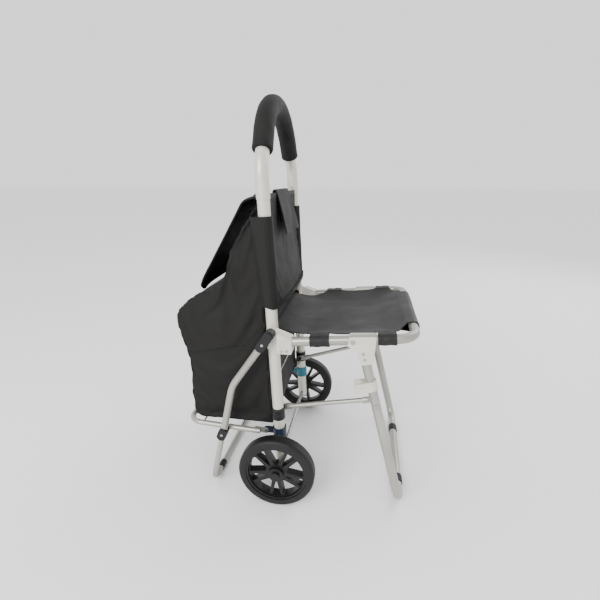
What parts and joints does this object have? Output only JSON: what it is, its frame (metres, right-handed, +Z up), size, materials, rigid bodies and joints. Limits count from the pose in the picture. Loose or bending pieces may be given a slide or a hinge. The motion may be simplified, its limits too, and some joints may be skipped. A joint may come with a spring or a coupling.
{
  "type": "shopping cart",
  "caption": "Folding two-wheel shopping cart with a cloth bag, a tube handle and a fold-out cloth seat on a rear leg.",
  "frame": {"origin": "on the floor, at the middle of the cart's footprint", "axes": "+Z up, +X towards the seat, +Y towards the right wheel"},
  "size_m": [0.5464, 0.454, 0.8884],
  "materials": {
    "tube_silver": "satin anodised",
    "steel": "zinc plated",
    "white_plastic": "moulded, satin",
    "black_plastic": "moulded, satin",
    "navy_plastic": "moulded, satin",
    "teal_plastic": "moulded, satin",
    "foam": "matte foam",
    "tyre_rubber": "matte",
    "wheel_plastic": "moulded, satin",
    "pad_rubber": "matte",
    "bag_cloth": "woven polyester",
    "seat_cloth": "coated woven polyester",
    "board": "sheet"
  },
  "bodies": {
    "frame": {"main_tube_left": "tube_silver", "main_tube_right": "tube_silver", "handle_bow": "tube_silver", "foam_grip": "foam", "axle": "steel", "axle_spacers": "steel", "axle_caps": "black_plastic", "tube_plugs": "black_plastic", "platform_clamp_left": "navy_plastic", "platform_clamp_right": "teal_plastic", "stay_clamp_left": "black_plastic", "stay_clamp_right": "black_plastic", "stay_pins": "black_plastic", "frame_bolts": "black_plastic", "tie_rod": "steel", "platform_pins": "steel", "backrest": "bag_cloth", "backrest_tab": "bag_cloth", "bag_body": "bag_cloth"},
    "wheel_left": {"wheel_centre_left": "wheel_plastic", "tyre_left": "tyre_rubber", "wheel_bush_left": "wheel_plastic"},
    "wheel_right": {"wheel_centre_right": "wheel_plastic", "tyre_right": "tyre_rubber", "wheel_bush_right": "wheel_plastic"},
    "seat": {"seat_tube": "tube_silver", "seat_sling": "seat_cloth", "seat_bracket_left": "white_plastic", "seat_bracket_right": "white_plastic", "seat_screws": "steel", "leg_pivots": "steel"},
    "rear_leg": {"leg_tube": "tube_silver", "leg_bracket_left": "white_plastic", "leg_bracket_right": "white_plastic", "leg_screws": "steel", "storage_clip_left": "white_plastic", "storage_clip_right": "white_plastic", "stay_rivets": "steel", "leg_pads": "pad_rubber"},
    "stay_left": {"stay_left": "tube_silver"},
    "stay_right": {"stay_right": "tube_silver"},
    "front_leg": {"strut_left": "tube_silver", "strut_right": "tube_silver", "strut_cap_left": "black_plastic", "strut_cap_right": "black_plastic", "cap_screws": "steel", "foot_tube": "tube_silver", "knee_left": "black_plastic", "knee_right": "black_plastic", "knee_rivets": "steel", "foot_pads": "pad_rubber"},
    "platform": {"platform_tube": "tube_silver", "platform_wires": "steel", "base_board": "board"},
    "lid": {"bag_lid": "bag_cloth"},
    "button_left": {"snap_button_left": "steel"},
    "button_right": {"snap_button_right": "steel"}
  },
  "joints": [
    {"name": "wheel_left_spin", "type": "hinge", "parent": "frame", "child": "wheel_left", "pos_m": [-0.0201, -0.205, 0.0875], "axis": [0, 1, 0], "continuous": true},
    {"name": "wheel_right_spin", "type": "hinge", "parent": "frame", "child": "wheel_right", "pos_m": [-0.0201, 0.205, 0.0875], "axis": [0, 1, 0], "continuous": true},
    {"name": "seat_fold", "type": "hinge", "parent": "frame", "child": "seat", "pos_m": [-0.03427, 0, 0.412], "axis": [0, -1, 0], "range_deg": [0, 66]},
    {"name": "leg_fold", "type": "hinge", "parent": "seat", "child": "rear_leg", "pos_m": [0.13807, 0, 0.41152], "axis": [0, -1, 0], "range_deg": [-78.7, 1]},
    {"name": "stay_left_fold", "type": "hinge", "parent": "frame", "child": "stay_left", "pos_m": [-0.02536, -0.132, 0.208], "axis": [0, -1, 0], "range_deg": [-1, 53.5]},
    {"name": "stay_right_fold", "type": "hinge", "parent": "frame", "child": "stay_right", "pos_m": [-0.02536, 0.132, 0.208], "axis": [0, -1, 0], "range_deg": [-1, 53.5]},
    {"name": "front_leg_fold", "type": "hinge", "parent": "frame", "child": "front_leg", "pos_m": [-0.03427, 0, 0.412], "axis": [0, -1, 0], "range_deg": [0, 8]},
    {"name": "platform_fold", "type": "hinge", "parent": "frame", "child": "platform", "pos_m": [-0.0551, 0, 0.157], "axis": [0, 1, 0], "range_deg": [0, 80], "deforming": ["bag_body"]},
    {"name": "lid_open", "type": "hinge", "parent": "frame", "child": "lid", "pos_m": [-0.05814, 0, 0.684], "axis": [0, 1, 0], "range_deg": [0, 110]},
    {"name": "button_left_press", "type": "slide", "parent": "frame", "child": "button_left", "axis": [0, -1, 0], "range_m": [0, 0.003], "stiffness_N_per_m": 400, "springref_m": -0.004},
    {"name": "button_right_press", "type": "slide", "parent": "frame", "child": "button_right", "axis": [0, 1, 0], "range_m": [0, 0.003], "stiffness_N_per_m": 400, "springref_m": -0.004}
  ],
  "couplings": [
    {"joint": "leg_fold", "follows": "seat_fold", "ratio": -1.1767},
    {"joint": "stay_left_fold", "follows": "seat_fold", "ratio": 0.796},
    {"joint": "stay_right_fold", "follows": "seat_fold", "ratio": 0.796}
  ]
}
